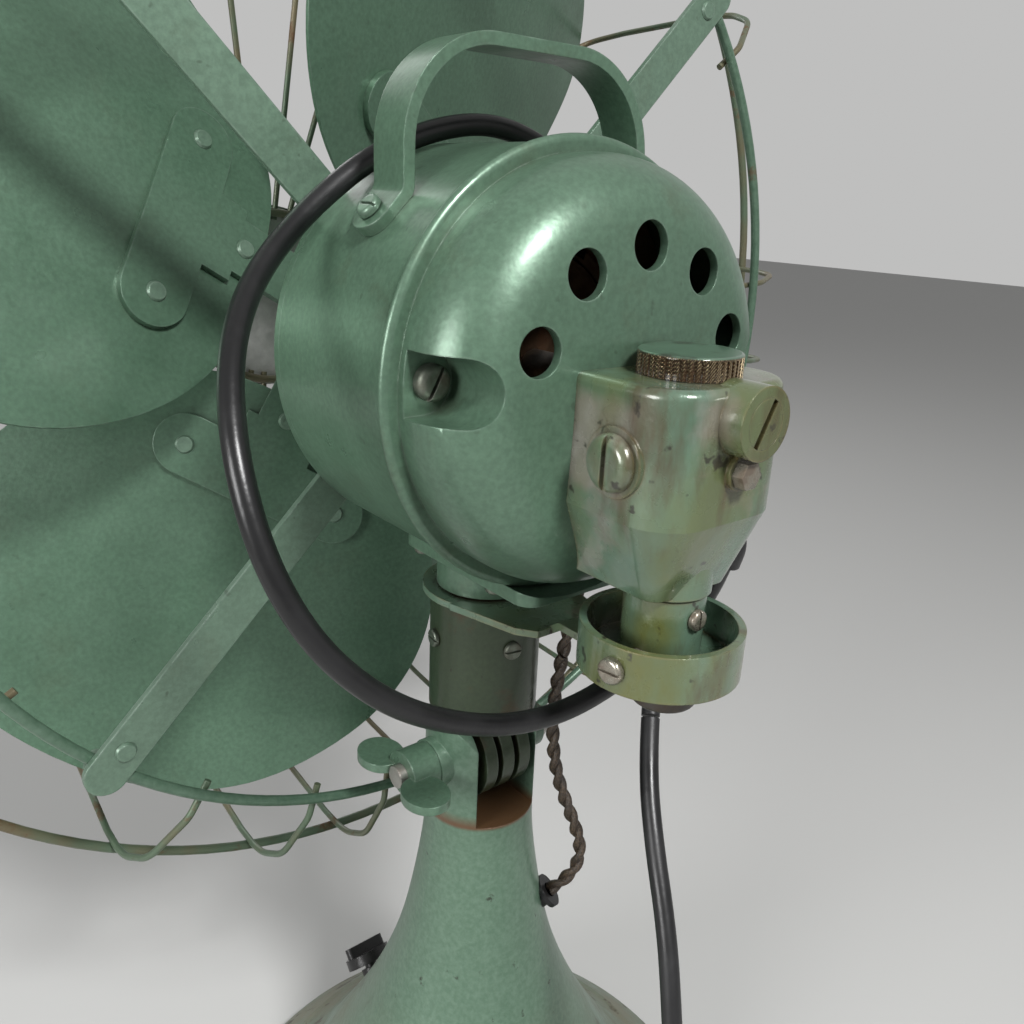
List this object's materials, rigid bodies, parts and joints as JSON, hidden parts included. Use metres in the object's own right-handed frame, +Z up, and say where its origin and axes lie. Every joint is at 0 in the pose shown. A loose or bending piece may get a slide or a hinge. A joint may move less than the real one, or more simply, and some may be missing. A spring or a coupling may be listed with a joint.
{
  "type": "oscillating desk fan",
  "caption": "Oscillating desk fan on a trumpet-shaped cast base: tilting stem, swivelling motor head with open crank and link, wire guard, pitched blades and mains cord.",
  "frame": {"origin": "On the swivel axis where the felt pad rests on the table, fan facing -Y.", "axes": "+Z up, -Y the way the fan blows, +X the left side as seen from behind."},
  "size_m": [0.439, 0.3921, 0.5855],
  "materials": {
    "green_hammertone": "painted",
    "olive_gearbox": "painted",
    "worn_guard": "worn",
    "bare_steel": "brushed",
    "rusty_iron": "rough",
    "brass": "dull",
    "bronze": "dull",
    "aluminium": "dull",
    "black_rubber": "matte",
    "copper_coils": "varnished",
    "felt": "felt",
    "black_plastic": "gloss",
    "brown_braid": "woven"
  },
  "bodies": {
    "base": {"base_casting": "green_hammertone", "felt_pad": "felt", "base_plate": "bare_steel", "speed_switch": "black_plastic", "tilt_bolt": "bare_steel", "lead_grommet": "black_rubber", "cord_drop": "black_rubber", "lead_lower": "brown_braid", "cord_coil": "black_rubber", "mains_plug": "black_plastic"},
    "tilt_wing": {"wing_nut": "rusty_iron"},
    "switch_dial": {"switch_knob": "black_plastic"},
    "stem": {"tilt_stem": "green_hammertone", "swivel_lock_screws": "bare_steel"},
    "head": {"swivel_platform": "green_hammertone", "swivel_spindle": "bare_steel", "platform_screws": "bare_steel", "motor_housing": "green_hammertone", "front_end_plate": "green_hammertone", "rear_dome": "green_hammertone", "through_bolts": "bare_steel", "stator_core": "rusty_iron", "stator_coils": "copper_coils", "shaft_bearings": "bronze", "gearbox_housing": "olive_gearbox", "thrust_plug": "bare_steel", "cross_shaft_plugs": "bare_steel", "level_screw": "bare_steel", "handle": "green_hammertone", "handle_screws": "bare_steel", "guard_rear_ring": "worn_guard", "guard_front_ring": "worn_guard", "guard_nose_ring": "worn_guard", "guard_wires": "worn_guard", "guard_struts": "green_hammertone", "strut_rivets": "bare_steel", "strut_lugs": "worn_guard", "guard_badge": "aluminium", "cord_gland": "black_rubber", "cord_loop": "black_rubber", "cord_link": "black_rubber", "lead_upper": "brown_braid"},
    "oil_cap": {"filler_cap": "brass"},
    "rotor": {"motor_shaft": "bare_steel", "rotor_core": "bare_steel", "drive_worm": "bare_steel", "spider_hub": "green_hammertone", "hub_screw": "bare_steel", "fan_blades": "green_hammertone", "blade_rivets": "bare_steel"},
    "cross_gear": {"cross_shaft": "bare_steel", "worm_wheel": "bronze"},
    "crown_gear": {"crown_wheel": "bronze"},
    "crank": {"crank_shaft": "bare_steel", "clutch_spring": "bare_steel", "crank_cup": "olive_gearbox", "crank_set_screw": "bare_steel", "clutch_screw": "bare_steel", "crank_pin": "rusty_iron"},
    "link": {"link_strap": "olive_gearbox"}
  },
  "joints": [
    {"name": "stem_tilt", "type": "hinge", "parent": "base", "child": "stem", "pos_m": [0, 0, 0.221], "axis": [-1, 0, 0], "range_deg": [-8, 22], "deforming": ["cord_drop", "lead_lower"]},
    {"name": "wing_turn", "type": "hinge", "parent": "base", "child": "tilt_wing", "pos_m": [0.029, 0, 0.221], "axis": [1, 0, 0], "range_deg": [-180, 0]},
    {"name": "speed_select", "type": "hinge", "parent": "base", "child": "switch_dial", "pos_m": [0, -0.078, 0.042], "axis": [0, -0.72, 0.694], "range_deg": [0, 90]},
    {"name": "head_swivel", "type": "hinge", "parent": "stem", "child": "head", "pos_m": [0, 0, 0.29], "axis": [0, 0, 1], "range_deg": [-40, 40], "deforming": ["cord_link", "lead_upper"]},
    {"name": "cap_turn", "type": "hinge", "parent": "head", "child": "oil_cap", "pos_m": [0, 0.0798, 0.374], "axis": [0, 0, 1], "range_deg": [-90, 0]},
    {"name": "blade_spin", "type": "hinge", "parent": "head", "child": "rotor", "pos_m": [0, -0.1007, 0.366], "axis": [0, -1, 0], "continuous": true},
    {"name": "cross_spin", "type": "hinge", "parent": "head", "child": "cross_gear", "pos_m": [0, 0.0798, 0.354], "axis": [1, 0, 0], "continuous": true},
    {"name": "crown_spin", "type": "hinge", "parent": "head", "child": "crown_gear", "pos_m": [0, 0.0798, 0.345], "axis": [0, 0, 1], "continuous": true},
    {"name": "crank_swing", "type": "hinge", "parent": "head", "child": "crank", "pos_m": [0, 0.0798, 0.3], "axis": [0, 0, 1], "range_deg": [-82, 82]},
    {"name": "link_swing", "type": "hinge", "parent": "crank", "child": "link", "pos_m": [-0.004, 0.0798, 0.288], "axis": [0, 0, 1], "range_deg": [-82, 82]}
  ],
  "couplings": [
    {"joint": "cross_spin", "follows": "blade_spin", "ratio": 0.033333},
    {"joint": "crown_spin", "follows": "blade_spin", "ratio": 0.010417},
    {"joint": "crank_swing", "follows": "head_swivel", "ratio": -2},
    {"joint": "link_swing", "follows": "head_swivel", "ratio": 2}
  ]
}
